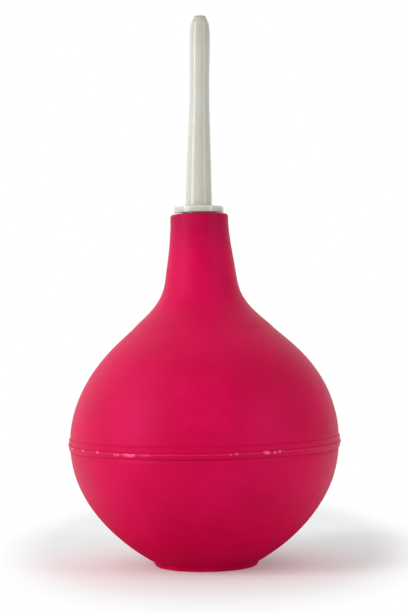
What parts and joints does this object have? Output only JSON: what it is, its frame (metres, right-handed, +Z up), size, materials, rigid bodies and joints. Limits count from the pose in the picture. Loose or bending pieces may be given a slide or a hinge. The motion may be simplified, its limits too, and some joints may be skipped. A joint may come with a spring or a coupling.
{
  "type": "rubber bulb syringe",
  "caption": "Pear-shaped hollow rubber bulb on a round foot, with a slender hard nozzle plugged into its neck, squeezed by hand to draw up and push out liquid.",
  "frame": {"origin": "centre of the underside of the foot ring, on the surface that the bulb stands on", "axes": "+Z up along the bulb's axis, towards the tip of the nozzle; the neck bends about Y"},
  "size_m": [0.0914, 0.0914, 0.1842],
  "materials": {
    "rubber": "matte with a powdery sheen",
    "nozzle": "smooth, slightly see-through"
  },
  "bodies": {
    "bulb": {"lower_shell": "rubber", "seam_band": "rubber", "upper_shell": "rubber"},
    "base": {"base": "rubber"},
    "neck": {"neck": "rubber"},
    "nozzle": {"nozzle": "nozzle"}
  },
  "joints": [
    {"name": "base_push", "type": "slide", "parent": "bulb", "child": "base", "axis": [0, 0, 1], "range_m": [0, 0.02], "stiffness_N_per_m": 1500, "springref_m": -0.002, "deforming": ["lower_shell"]},
    {"name": "neck_bend", "type": "hinge", "parent": "bulb", "child": "neck", "pos_m": [0, 0, 0.088], "axis": [0, 1, 0], "range_deg": [-20, 20], "stiffness_Nm_per_rad": 1.5, "deforming": ["upper_shell"]},
    {"name": "nozzle_pull", "type": "slide", "parent": "neck", "child": "nozzle", "axis": [0, 0, 1], "range_m": [0, 0.03]}
  ]
}
